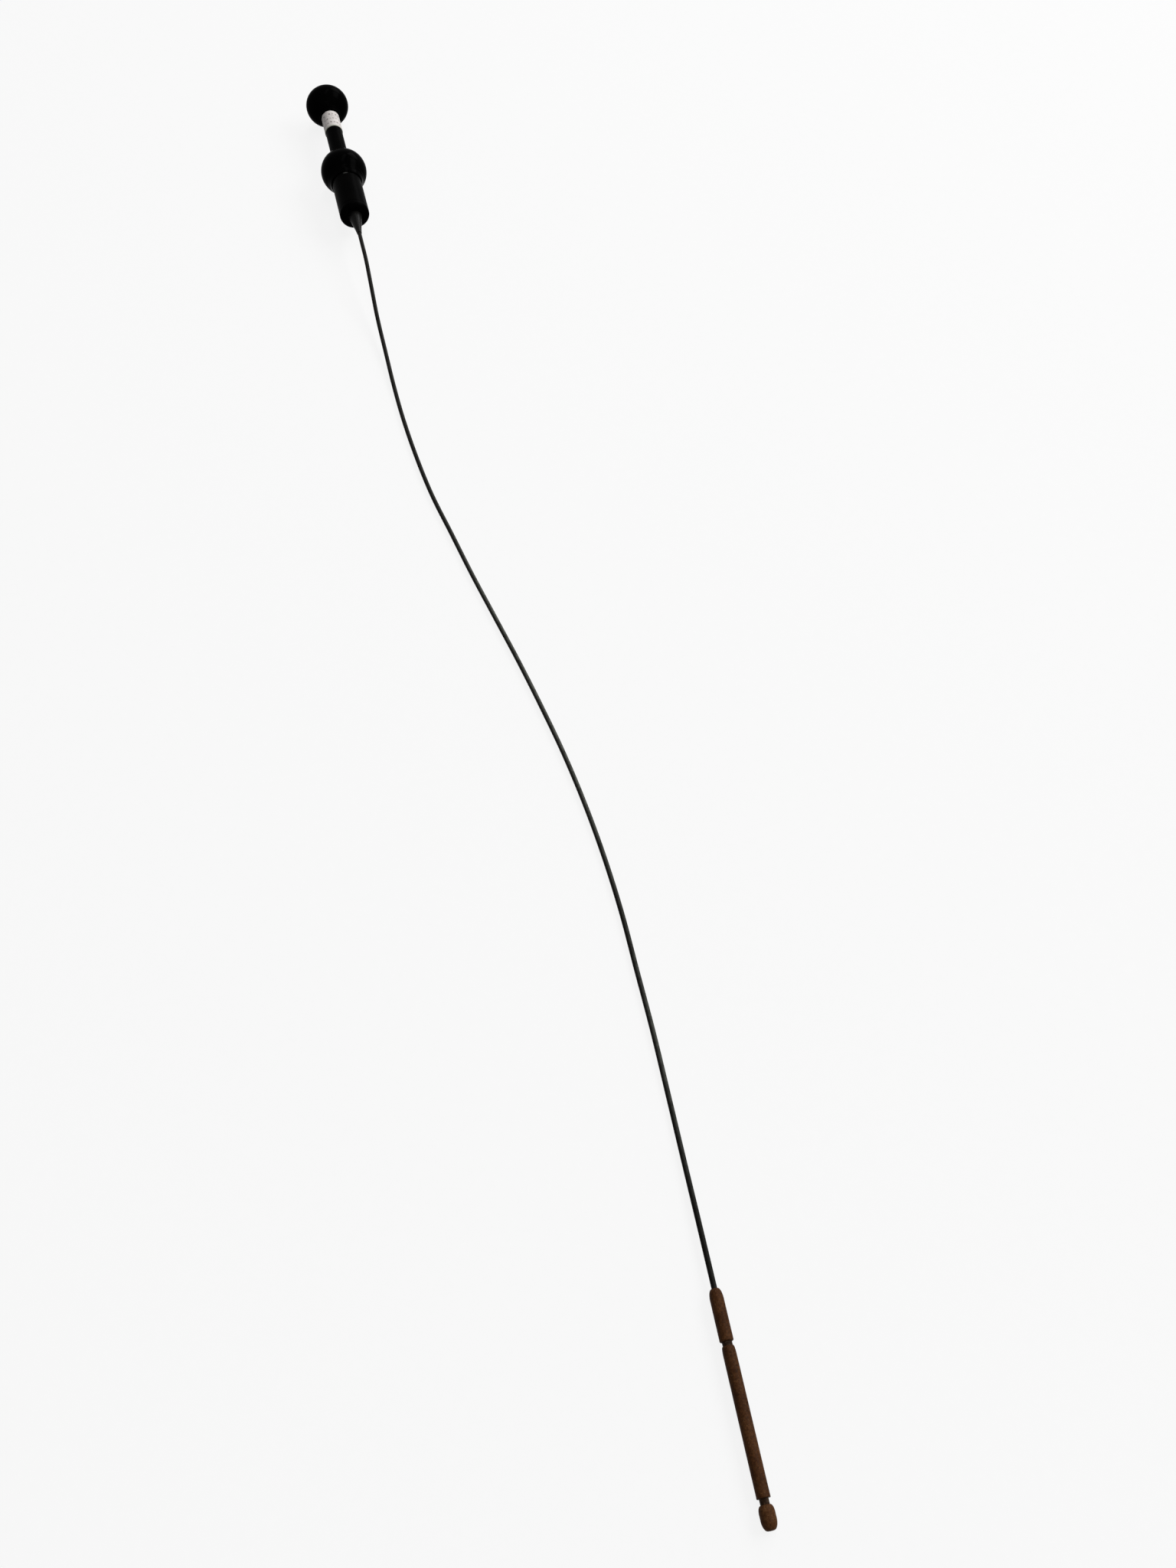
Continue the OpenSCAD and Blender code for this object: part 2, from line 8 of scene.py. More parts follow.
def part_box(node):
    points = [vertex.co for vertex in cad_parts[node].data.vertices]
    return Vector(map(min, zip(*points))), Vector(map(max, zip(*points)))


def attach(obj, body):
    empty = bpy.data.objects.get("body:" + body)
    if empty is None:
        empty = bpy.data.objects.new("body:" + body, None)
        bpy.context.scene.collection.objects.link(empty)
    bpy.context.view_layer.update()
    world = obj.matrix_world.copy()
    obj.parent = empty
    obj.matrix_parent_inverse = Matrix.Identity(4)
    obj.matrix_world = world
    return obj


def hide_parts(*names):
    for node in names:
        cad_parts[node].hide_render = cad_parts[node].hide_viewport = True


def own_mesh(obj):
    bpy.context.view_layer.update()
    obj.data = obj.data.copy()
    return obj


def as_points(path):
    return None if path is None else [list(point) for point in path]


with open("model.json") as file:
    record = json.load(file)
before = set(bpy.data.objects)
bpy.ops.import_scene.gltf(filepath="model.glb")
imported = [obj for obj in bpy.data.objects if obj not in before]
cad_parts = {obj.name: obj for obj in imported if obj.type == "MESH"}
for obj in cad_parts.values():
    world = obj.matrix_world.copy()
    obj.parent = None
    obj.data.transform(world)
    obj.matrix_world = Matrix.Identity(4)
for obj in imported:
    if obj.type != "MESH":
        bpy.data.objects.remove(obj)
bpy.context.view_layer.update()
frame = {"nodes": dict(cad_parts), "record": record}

# A cable shutter release on a table. Shapes are turned outlines in millimetres, placed on the axis of
# the handle or of the camera end. Materials are in the record's slots, and colours are linear.
MM = 0.001


# ---- Places ---------------------------------------------------------------

def span(node):
    """Where a node of the handle begins and ends along X, in mm."""
    low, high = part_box(node)
    return low[0] / MM, high[0] / MM


def radius(node):
    """Outer radius of a node of the handle, in mm."""
    low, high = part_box(node)
    return (high[2] - low[2]) / 2 / MM


def joint(name):
    return next(j for j in frame["record"]["behaviour"]["joints"] if j["name"] == name)


class Axis:
    """A line that pieces are turned about: outlines are (distance along it, radius), in mm."""

    def __init__(self, start, way):
        self.start = Vector(start)
        self.way = Vector(way).normalized()
        self.side = Vector((0, 0, 1)).cross(self.way).normalized()
        self.up = self.way.cross(self.side)

    def point(self, along, out=0.0, turn=0.0):
        across = math.cos(turn) * self.side + math.sin(turn) * self.up
        return self.start + MM * (along * self.way + out * across)


axis_height = (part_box("barrel")[0][2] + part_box("barrel")[1][2]) / 2
HANDLE = Axis((0, 0, axis_height), (1, 0, 0))
FITTING = Axis(joint("fitting_swivel")["pos_m"], joint("fitting_swivel")["axis"])


# ---- Camera ---------------------------------------------------------------

# Place in metres, angles down from level and round from -X towards +Y, and lens and sensor in mm
CAMERA_AT = Vector((0.6856, -0.0405, 0.4918))
CAMERA_DOWN = math.radians(57.5)
CAMERA_TURN = math.radians(13.75)
LENS = 35.156
SENSOR = 36

forward = Vector((
    -math.cos(CAMERA_DOWN) * math.cos(CAMERA_TURN),
    math.cos(CAMERA_DOWN) * math.sin(CAMERA_TURN),
    -math.sin(CAMERA_DOWN),
))
camera = bpy.data.objects.new("camera", bpy.data.cameras.new("camera"))
camera.data.lens = LENS
camera.data.sensor_width = SENSOR
camera.data.clip_start = 0.01
camera.data.clip_end = 50
camera.location = CAMERA_AT
camera.rotation_euler = forward.to_track_quat("-Z", "Y").to_euler()
bpy.context.collection.objects.link(camera)
bpy.context.scene.camera = camera


# ---- Node materials -------------------------------------------------------

class Surface:
    """A procedural material. Its places are in mm, and each socket is a value, a colour or a link."""

    def __init__(self, name):
        self.material = bpy.data.materials.new(name)
        self.material.use_nodes = True
        self.tree = self.material.node_tree
        self.shader = next(n for n in self.tree.nodes if n.type == "BSDF_PRINCIPLED")
        self.places = self.node("ShaderNodeTexCoord").outputs["Object"]

    def node(self, kind, **settings):
        made = self.tree.nodes.new(kind)
        for key, value in settings.items():
            setattr(made, key, value)
        return made

    def put(self, socket, value):
        if isinstance(value, bpy.types.NodeSocket):
            self.tree.links.new(value, socket)
        else:
            socket.default_value = value

    def scaled(self, per_metre, stretch=(1, 1, 1)):
        """The place on the object, times a scale along each axis."""
        mapping = self.node("ShaderNodeMapping")
        self.put(mapping.inputs["Vector"], self.places)
        mapping.inputs["Scale"].default_value = [per_metre * s for s in stretch]
        return mapping.outputs["Vector"]

    def noise(self, size_mm, detail=3, roughness=0.55, stretch=(1, 1, 1), shift=0.0):
        """Cloudy noise of about that grain, from 0 to 1."""
        texture = self.node("ShaderNodeTexNoise", noise_dimensions="4D")
        self.put(texture.inputs["Vector"], self.scaled(1 / (size_mm * MM), stretch))
        texture.inputs["W"].default_value = shift
        texture.inputs["Scale"].default_value = 1
        texture.inputs["Detail"].default_value = detail
        texture.inputs["Roughness"].default_value = roughness
        return texture.outputs["Fac"]

    def ramp(self, factor, *stops):
        """A colour or grey for each place on a ramp."""
        made = self.node("ShaderNodeValToRGB")
        self.put(made.inputs["Fac"], factor)
        elements = made.color_ramp.elements
        while len(elements) < len(stops):
            elements.new(0.5)
        for element, (position, value) in zip(elements, stops):
            element.position = position
            element.color = (*value, 1) if isinstance(value, tuple) else (value, value, value, 1)
        return made.outputs["Color"]

    def range(self, factor, low, high, to_low, to_high):
        made = self.node("ShaderNodeMapRange")
        for key, value in (
            ("Value", factor), ("From Min", low), ("From Max", high), ("To Min", to_low), ("To Max", to_high),
        ):
            self.put(made.inputs[key], value)
        return made.outputs["Result"]

    def faded(self, distance, ends_mm):
        """1 up to the first distance, and 0 from the last."""
        first, last = (end * MM for end in ends_mm)
        return self.range(distance, first, last, 1, 0)

    def math(self, operation, a, b=0.0, clamp=False):
        made = self.node("ShaderNodeMath", operation=operation, use_clamp=clamp)
        self.put(made.inputs[0], a)
        self.put(made.inputs[1], b)
        return made.outputs[0]

    def mix(self, factor, a, b):
        made = self.node("ShaderNodeMix", data_type="RGBA")
        sockets = [s for s in made.inputs if s.type == "RGBA"]
        self.put(made.inputs["Factor"], factor)
        for socket, value in zip(sockets, (a, b)):
            self.put(socket, (*value, 1) if isinstance(value, tuple) else value)
        return next(s for s in made.outputs if s.type == "RGBA")

    def bump(self, height, depth_mm, strength=1.0):
        made = self.node("ShaderNodeBump")
        self.put(made.inputs["Height"], height)
        made.inputs["Distance"].default_value = depth_mm * MM
        made.inputs["Strength"].default_value = strength
        self.put(self.shader.inputs["Normal"], made.outputs["Normal"])

    def set(self, **sockets):
        for key, value in sockets.items():
            socket = self.shader.inputs[key.replace("_", " ")]
            if isinstance(value, tuple) and socket.type == "RGBA":
                value = (*value, 1)
            self.put(socket, value)


def knob_black():
    """Polished black plastic that reflects very little, with handling marks and fine scratches."""
    s = Surface("knob_black")
    cloud = s.noise(7, detail=4)
    scratch = s.noise(0.35, detail=2, stretch=(0.12, 1, 1))
    s.set(
        Base_Color=s.ramp(cloud, (0.3, (0.0003, 0.0003, 0.0004)), (0.75, (0.001, 0.0009, 0.0009))),
        Roughness=s.math("ADD", s.range(cloud, 0.35, 0.75, 0.1, 0.2), s.range(scratch, 0.6, 0.8, 0, 0.1)),
        Specular_IOR_Level=0.003,
    )
    s.bump(scratch, 0.002)
    return s.material


# The painted glint in mm, a light grey patch on the top that stands in for a highlight: how far past the
# ball's foot, and where it fades along the handle and across it
GLINT_AWAY = 0.7
GLINT_ALONG = (0.2, 0.5)
GLINT_ACROSS = (0.4, 1.4)


def handle_black():
    """Satin black plastic with turning marks round it, and a painted glint: a light grey patch on top just
    past the ball's foot.
    """
    s = Surface("handle_black")
    cloud = s.noise(5, detail=4, shift=3)
    turned = s.noise(0.5, detail=2, stretch=(1, 0.06, 0.06), shift=1)
    parts = s.node("ShaderNodeSeparateXYZ")
    s.put(parts.inputs[0], s.places)
    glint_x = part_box("finger_ball")[1][0] + GLINT_AWAY * MM
    along = s.math("ABSOLUTE", s.math("SUBTRACT", parts.outputs["X"], glint_x))
    across = s.math("ABSOLUTE", parts.outputs["Y"])
    near = s.math("MULTIPLY", s.faded(along, GLINT_ALONG), s.faded(across, GLINT_ACROSS))
    # Painted glint: light grey on the top of the barrel just past the ball's foot, in place of a highlight
    painted_glint = s.math("MULTIPLY", near, s.math("GREATER_THAN", parts.outputs["Z"], axis_height))
    black = s.ramp(cloud, (0.3, (0.0003, 0.0003, 0.0004)), (0.75, (0.0011, 0.001, 0.0009)))
    s.set(
        Base_Color=s.mix(painted_glint, black, (0.04, 0.04, 0.038)),
        Roughness=s.math("ADD", s.range(cloud, 0.3, 0.75, 0.26, 0.38), s.range(turned, 0.55, 0.8, 0, 0.08)),
        Specular_IOR_Level=0.003,
    )
    s.bump(turned, 0.004)
    return s.material


# Print of the label: rows and ticks in a row, and in mm the rows' pitch and height, the place and width of
# the worn line, and how far the print is smeared
LABEL_ROWS = 3
LABEL_TICKS = 17
LABEL_PITCH = 3.4
LABEL_STROKE = 1.6
LABEL_LINE = -1.9
LABEL_LINE_W = 0.3
LABEL_SMEAR = 1.6


def label_white():
    """Off-white wrapped label, greyer and greener towards its lower edge, with three blurred rows of ticks
    and a worn line.
    """
    s = Surface("label_white")
    fibre = s.noise(0.5, detail=5, stretch=(1, 0.5, 0.5))
    soil = s.noise(2.6, detail=5, shift=7)
    paper = s.ramp(soil, (0.25, (0.44, 0.407, 0.39)), (0.6, (0.555, 0.523, 0.506)))
    uv = s.node("ShaderNodeUVMap", uv_map="turned").outputs["UV"]
    parts = s.node("ShaderNodeSeparateXYZ")
    s.put(parts.inputs[0], uv)
    around, along = parts.outputs["X"], parts.outputs["Y"]
    first, last = span("label_sleeve")
    from_middle = s.math("SUBTRACT", s.math("MULTIPLY", along, last - first), (last - first) / 2)
    smear = s.math("MULTIPLY", s.math("SUBTRACT", s.noise(0.8, detail=2, shift=21), 0.5), LABEL_SMEAR)
    place = s.math("ADD", from_middle, smear)
    rows = s.math("ADD", s.math("DIVIDE", place, LABEL_PITCH), 0.5)
    row = s.math("ABSOLUTE", s.math("SUBTRACT", s.math("FRACT", rows), 0.5))
    in_row = s.range(row, LABEL_STROKE / LABEL_PITCH / 5, LABEL_STROKE / LABEL_PITCH / 2, 1, 0)
    in_rows = s.math("LESS_THAN", s.math("ABSOLUTE", from_middle), LABEL_ROWS * LABEL_PITCH / 2)
    turns = s.math("ADD", s.math("MULTIPLY", around, LABEL_TICKS), s.math("MULTIPLY", smear, 0.3))
    tick = s.math("ABSOLUTE", s.math("SUBTRACT", s.math("FRACT", turns), 0.5))
    ticks = s.range(tick, 0.2, 0.42, 1, 0)
    worn = s.range(s.noise(1.3, detail=3, shift=11), 0.36, 0.56, 0.1, 1)
    line = s.range(s.math("ABSOLUTE", s.math("SUBTRACT", place, LABEL_LINE)), 0, LABEL_LINE_W, 0.8, 0)
    ink = s.math("MAXIMUM", s.math("MULTIPLY", s.math("MULTIPLY", in_row, in_rows), ticks), line)
    inked = s.mix(s.math("MULTIPLY", s.math("MULTIPLY", ink, worn), 0.95), paper, (0.17, 0.145, 0.14))
    # Greyer and greener towards the lower edge
    edge = s.range(along, 0.9, 1.0, 0.0, 0.7)
    s.set(
        Base_Color=s.mix(edge, inked, (0.3, 0.32, 0.25)),
        Roughness=s.range(soil, 0.3, 0.7, 0.42, 0.6),
        Specular_IOR_Level=0.3,
    )
    s.bump(fibre, 0.02)
    return s.material


def relief_rubber():
    """Black rubber, rubbed smooth along its taper."""
    s = Surface("relief_rubber")
    cloud = s.noise(1.8, detail=4, shift=2)
    s.set(
        Base_Color=s.ramp(cloud, (0.3, (0.0009, 0.0009, 0.0008)), (0.75, (0.0045, 0.0043, 0.004))),
        Roughness=s.range(cloud, 0.3, 0.7, 0.26, 0.42),
        Specular_IOR_Level=0.045,
    )
    s.bump(cloud, 0.03)
    return s.material


# How much the sheath's dark skin gives way to greenish grey at places along X, in metres: partly real wear,
# partly a painted sheen
SHEATH_WEAR_AND_SHEEN = (
    (0.06, 0.1),
    (0.2, 0.18),
    (0.25, 0.4),
    (0.29, 0.9),
    (0.36, 0.9),
    (0.4, 0.7),
    (0.44, 0.3),
    (0.49, 0.65),
    (0.55, 0.12),
)


def cable_sheath():
    """Black sheath with a fine uneven surface, rubbed to greenish grey in places, with painted light making
    it lighter along its +Y side.
    """
    s = Surface("cable_sheath")
    patches = s.noise(2.4, detail=5, roughness=0.65)
    grain = s.noise(0.45, detail=4)
    parts = s.node("ShaderNodeSeparateXYZ")
    s.put(parts.inputs[0], s.places)
    first, last = SHEATH_WEAR_AND_SHEEN[0][0], SHEATH_WEAR_AND_SHEEN[-1][0]
    wear_and_sheen = s.ramp(
        s.range(parts.outputs["X"], first, last, 0, 1),
        *(((x - first) / (last - first), amount) for x, amount in SHEATH_WEAR_AND_SHEEN),
    )
    facing = s.node("ShaderNodeSeparateXYZ")
    s.put(facing.inputs[0], s.node("ShaderNodeTexCoord").outputs["Normal"])
    # Painted light: the side whose normal faces +Y, towards the lamps, takes more of the light grey, and the
    # other side less
    side = s.range(facing.outputs["Y"], -0.55, 0.5, 0.12, 1.1)
    patchy_and_lit = s.math("MULTIPLY", s.range(patches, 0.3, 0.62, 0.35, 1.3), side)
    worn = s.math("MULTIPLY", patchy_and_lit, wear_and_sheen, clamp=True)
    s.set(
        Base_Color=s.mix(worn, (0.0022, 0.0017, 0.0012), (0.07, 0.073, 0.063)),
        Roughness=s.range(grain, 0.3, 0.7, 0.34, 0.52),
        Specular_IOR_Level=0.03,
    )
    s.bump(grain, 0.05)
    return s.material


def brown_brass():
    """Oxidised brass: a mottled dark brown skin, lighter on the nose, with pits and rubbed tan flecks."""
    s = Surface("brown_brass")
    broad = s.noise(6.5, detail=3, shift=4)
    mottle = s.noise(0.7, detail=6, roughness=0.72, shift=9)
    pits = s.noise(0.42, detail=3, shift=12)
    flecks = s.noise(0.46, detail=4, shift=15)
    parts = s.node("ShaderNodeSeparateXYZ")
    s.put(parts.inputs[0], s.places)
    nose_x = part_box("camera_nose")[0][0]
    on_nose = s.range(parts.outputs["X"], nose_x - MM, nose_x + MM, 0, 0.06)
    tone = s.math("ADD", s.math("MULTIPLY", mottle, 0.66), s.math("MULTIPLY", broad, 0.34))
    skin = s.ramp(
        s.math("ADD", tone, on_nose),
        (0.34, (0.013, 0.0043, 0.0014)),
        (0.46, (0.038, 0.014, 0.0046)),
        (0.56, (0.063, 0.0248, 0.0084)),
        (0.68, (0.115, 0.053, 0.0205)),
    )
    pitted = s.range(pits, 0.55, 0.68, 0, 0.7)
    rubbed = s.range(flecks, 0.6, 0.78, 0, 0.5)
    s.set(
        Base_Color=s.mix(rubbed, s.mix(pitted, skin, (0.008, 0.0028, 0.0012)), (0.19, 0.125, 0.07)),
        Roughness=s.range(mottle, 0.3, 0.7, 0.4, 0.6),
        Specular_IOR_Level=0.035,
    )
    s.bump(s.math("SUBTRACT", mottle, s.math("MULTIPLY", pitted, 0.6)), 0.04)
    return s.material


def fitting_steel():
    """Dull metal under dark brown stains, with turning marks."""
    s = Surface("fitting_steel")
    stain = s.noise(0.7, detail=5, shift=5)
    turned = s.noise(0.12, detail=2, stretch=(1, 0.1, 0.1))
    s.set(
        Base_Color=s.ramp(
            stain,
            (0.3, (0.008, 0.0032, 0.0014)),
            (0.5, (0.021, 0.0105, 0.0052)),
            (0.72, (0.068, 0.043, 0.026)),
        ),
        Metallic=0.03,
        Roughness=s.range(stain, 0.3, 0.7, 0.5, 0.34),
        Specular_IOR_Level=0.03,
    )
    s.bump(turned, 0.008)
    return s.material


def bright_steel():
    """Drawn steel, bright, with lines along it."""
    s = Surface("bright_steel")
    lines = s.noise(0.15, detail=2, stretch=(0.05, 1, 1))
    s.set(
        Base_Color=s.ramp(lines, (0.3, (0.42, 0.42, 0.41)), (0.7, (0.6, 0.6, 0.585))),
        Metallic=1.0,
        Roughness=s.range(lines, 0.3, 0.7, 0.22, 0.34),
    )
    s.bump(lines, 0.004)
    return s.material


def inner_brass():
    """Turned brass that hands never touch."""
    s = Surface("inner_brass")
    turned = s.noise(0.2, detail=2, stretch=(1, 0.05, 0.05), shift=6)
    s.set(
        Base_Color=s.ramp(turned, (0.3, (0.5, 0.36, 0.15)), (0.7, (0.66, 0.5, 0.24))),
        Metallic=1.0,
        Roughness=s.range(turned, 0.3, 0.7, 0.25, 0.36),
    )
    s.bump(turned, 0.006)
    return s.material


MATERIALS = {
    make.__name__: make()
    for make in (
        knob_black, handle_black, label_white, relief_rubber, cable_sheath,
        brown_brass, fitting_steel, bright_steel, inner_brass,
    )
}
SLOT_OF = {part["node"]: part["material_slot"] for part in frame["record"]["subparts"]}
BODY_OF = {node: body for body, nodes in frame["record"]["behaviour"]["bodies"].items() for node in nodes}


# ---- Outlines -------------------------------------------------------------

# Steps of a rounded corner and of a quarter ellipse
ARC_STEPS = 6
QUARTER_STEPS = 14
# Steps along the shaped outlines
KNOB_STEPS = 110
BALL_STEPS = 150
RELIEF_STEPS = 48
# Longest steps in mm along a turned piece, and the sides round it from the widest to the thinnest
STEP = 0.8
CLOSE_STEP = 0.5
NECK_STEP = 0.3
WIDE_SIDES = 128
SIDES = 96
SLEEVE_SIDES = 72
NECK_SIDES = 64
PIN_SIDES = 48
# Roundings of edges in mm: those that hands touch, those that are only turned, and the mouths of bores
SOFT_EDGE = 0.35
EDGE = 0.12
FINE_EDGE = 0.05


def rounded(*corners):
    """The outline through corners of (along, radius, rounding), each rounding an arc."""
    points = []
    count = len(corners)
    for i, (along, out, rounding) in enumerate(corners):
        here = Vector((along, out))
        if rounding == 0:
            points.append(here)
            continue
        back = (Vector(corners[i - 1][:2]) - here).normalized()
        on = (Vector(corners[(i + 1) % count][:2]) - here).normalized()
        half = back.angle(on) / 2
        away = rounding / math.tan(half)
        centre = here + (back + on).normalized() * rounding / math.sin(half)
        first, last = here + back * away - centre, here + on * away - centre
        points += [centre + rounding * first.slerp(last, k / ARC_STEPS) for k in range(ARC_STEPS + 1)]
    return points


def bar_end(place, out, bore, rounding):
    """The corners that end a tube: its edge and then its bore."""
    corners = ((place - 1, out, 0), (place, out, rounding), (place, bore, FINE_EDGE), (place - 1, bore, 0))
    return rounded(*corners)[1:-1]


def spaced(points, longest, closed):
    """The same outline with extra points, so that no step of it is longer than a given length."""
    out = []
    pairs = list(zip(points, points[1:] + points[:1])) if closed else list(zip(points, points[1:]))
    for a, b in pairs:
        parts = max(1, math.ceil((b - a).length / longest))
        out += [a.lerp(b, k / parts) for k in range(parts)]
    return out if closed else out + [points[-1]]


def smooth_max(a, b, width):
    """The larger of two radii, with a fillet where they cross."""
    h = max(0.0, min(1.0, 0.5 + 0.5 * (a - b) / width))
    return b + (a - b) * h + width * h * (1 - h)


def bead(place, middle, thickness, out):
    """Radius of a disc with a fully rounded rim at a place, or 0 outside it."""
    edge = min(out, thickness / 2)
    away = abs(place - middle) - (thickness / 2 - edge)
    if away > edge:
        return 0.0
    return out - edge + math.sqrt(max(0.0, edge * edge - max(0.0, away) ** 2))


def sampled(first, last, count, radius_at):
    """Points of a radius formula, close together near both ends."""
    points = []
    for i in range(count + 1):
        along = first + (last - first) * (1 - math.cos(math.pi * i / count)) / 2
        points.append(Vector((along, radius_at(along))))
    return points


# ---- Turned pieces --------------------------------------------------------

def turned_mesh(name, axis, outline, closed, segments, shape=None):
    """A mesh that an outline makes round an axis. shape(along, out, turn) may change the radius."""
    low = min(p.x for p in outline)
    high = max(p.x for p in outline)
    verts, rings, faces, coords = [], [], [], []
    for p in outline:
        ring = []
        for k in range(1 if p.y == 0 else segments):
            turn = 2 * math.pi * k / segments
            out = shape(p.x, p.y, turn) if shape and p.y else p.y
            ring.append(len(verts))
            verts.append(axis.point(p.x, out, turn))
        rings.append(ring)
    pairs = list(zip(range(len(rings)), list(range(1, len(rings))) + [0]))
    for i, j in pairs if closed else pairs[:-1]:
        a, b = rings[i], rings[j]
        along_a, along_b = ((outline[n].x - low) / (high - low) for n in (i, j))
        for k in range(segments):
            n = (k + 1) % segments
            u, v = k / segments, (k + 1) / segments
            if len(a) == 1:
                faces.append((a[0], b[n], b[k]))
                coords.append(((u, along_a), (v, along_b), (u, along_b)))
            elif len(b) == 1:
                faces.append((a[k], a[n], b[0]))
                coords.append(((u, along_a), (v, along_a), (u, along_b)))
            else:
                faces.append((a[k], a[n], b[n], b[k]))
                coords.append(((u, along_a), (v, along_a), (v, along_b), (u, along_b)))
    mesh = bpy.data.meshes.new(name)
    mesh.from_pydata(verts, [], faces)
    layer = mesh.uv_layers.new(name="turned")
    layer.data.foreach_set("uv", [x for face in coords for corner in face for x in corner])
    mesh.validate()
    if volume(mesh) < 0:
        mesh.flip_normals()
    mesh.shade_smooth()
    return mesh


def volume(mesh):
    total = 0.0
    mesh.calc_loop_triangles()
    for triangle in mesh.loop_triangles:
        a, b, c = (mesh.vertices[i].co for i in triangle.vertices)
        total += a.dot(b.cross(c)) / 6
    return total


def stand_for(name, mesh, *nodes):
    """Shows a mesh in the place of CAD nodes, on their body and in their material slot."""
    piece = bpy.data.objects.new(name, mesh)
    bpy.context.collection.objects.link(piece)
    slot = SLOT_OF[nodes[0]]
    mesh.materials.append(MATERIALS[slot])
    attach(piece, BODY_OF[nodes[0]])
    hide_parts(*nodes)
    return piece


def turned(name, axis, outline, node, segments=SIDES, longest=STEP, closed=True, shape=None):
    mesh = turned_mesh(name, axis, spaced(outline, longest, closed), closed, segments, shape)
    return stand_for(name, mesh, node)


# ---- Cable ----------------------------------------------------------------

# Thickness of the cable and its height over the table in mm, and its length in metres
CABLE_D = 1.9
CABLE_AIR = 0.05
# Its mesh: distance between rings in mm, sides, and rings of each held end
CABLE_RING = 0.7
CABLE_SIDES = 16
HELD_RINGS = 30
# Unevenness of the sheath: its depth in mm, and its coarse and fine grain in bumps per metre
SHEATH_DENT = 0.012
SHEATH_COARSE = 900
SHEATH_FINE = 2600
# Length in mm of the ferrule, and how much of it the swivel tube and the cable take
FERRULE_LEN = 16.2
SWIVEL_HOLD = 4.2
FERRULE_GRIP = FERRULE_LEN - SWIVEL_HOLD
REST_Z = (CABLE_D / 2 + CABLE_AIR) * MM
start_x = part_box("cable")[0][0]
exit_x = span("strain_relief")[1] * MM
# The cable's route from its exit to the top of the ferrule, in metres. X is measured from the exit.
ROUTE = [
    (0, 0, axis_height), (0.008, 0, axis_height), (0.02, 0, 0.0105), (0.036, -0.0005, 0.0085),
    (0.054, -0.001, 0.005), (0.074, -0.001, 0.0026), (0.096, -0.001, 0.00125), (0.118, -0.0005, REST_Z),
    (0.142, 0.001, REST_Z), (0.166, 0.0035, REST_Z), (0.19, 0.0075, REST_Z), (0.214, 0.0115, REST_Z),
    (0.238, 0.016, REST_Z), (0.262, 0.0205, REST_Z), (0.286, 0.0245, REST_Z), (0.31, 0.028, REST_Z),
    (0.334, 0.0305, REST_Z), (0.358, 0.032, REST_Z), (0.382, 0.0325, REST_Z), (0.406, 0.032, REST_Z),
    (0.43, 0.0315, REST_Z), (0.454, 0.0305, REST_Z), (0.476, 0.0295, 0.00125), (0.498, 0.0285, 0.0019),
    (0.5184, 0.0275, FITTING.start.z),
]


def curve_through(points, step):
    """Points along the smooth curve through the given ones, between the second and the last but one."""
    out = []
    for a, b, c, d in zip(points, points[1:], points[2:], points[3:]):
        parts = max(1, round((c - b).length / step))
        for k in range(parts):
            t = k / parts
            out.append(0.5 * (
                2 * b + (c - a) * t + (2 * a - 5 * b + 4 * c - d) * t * t + (3 * b - a - 3 * c + d) * t ** 3
            ))
    return out


def tube_mesh(name, path, radius_at, sides):
    """A tube along a path. radius_at(point, turn) gives its radius in metres there."""
    verts, faces = [], []
    count = len(path)
    for i, p in enumerate(path):
        way = (path[min(i + 1, count - 1)] - path[max(i - 1, 0)]).normalized()
        side = Vector((0, 0, 1)).cross(way).normalized()
        up = way.cross(side)
        for k in range(sides):
            turn = 2 * math.pi * k / sides
            across = math.cos(turn) * side + math.sin(turn) * up
            verts.append(p + radius_at(p, across) * across)
    for i in range(count - 1):
        for k in range(sides):
            n = (k + 1) % sides
            a, b = i * sides, (i + 1) * sides
            faces.append((a + k, a + n, b + n, b + k))
    faces.append(tuple(reversed(range(sides))))
    faces.append(tuple(range((count - 1) * sides, count * sides)))
    mesh = bpy.data.meshes.new(name)
    mesh.from_pydata(verts, [], faces)
    mesh.validate()
    if volume(mesh) < 0:
        mesh.flip_normals()
    mesh.shade_smooth()
    return mesh


def sheath_radius(point, across):
    """The sheath is a little uneven, never thicker than the cable's diameter."""
    coarse = noise.noise(point * SHEATH_COARSE + across * 0.7)
    fine = noise.noise(point * SHEATH_FINE + across)
    grain = max(-1.0, min(1.0, coarse + 0.6 * fine))
    return MM * (CABLE_D / 2 - SHEATH_DENT * (0.5 - 0.5 * grain))


def make_cable():
    held_start = Vector((start_x, 0, axis_height))
    route = [Vector((exit_x + x, y, z)) for x, y, z in ROUTE]
    held_end = route[-1] + FERRULE_GRIP * MM * FITTING.way
    shown = curve_through([held_start] + route + [held_end], CABLE_RING * MM)
    path = [held_start.lerp(route[0], k / HELD_RINGS) for k in range(HELD_RINGS)]
    path += shown
    path += [route[-1].lerp(held_end, k / HELD_RINGS) for k in range(HELD_RINGS + 1)]
    return stand_for("cable_tube", tube_mesh("cable_tube", path, sheath_radius, CABLE_SIDES), "cable"), path


cable, cable_path = make_cable()


# ---- Handle ---------------------------------------------------------------

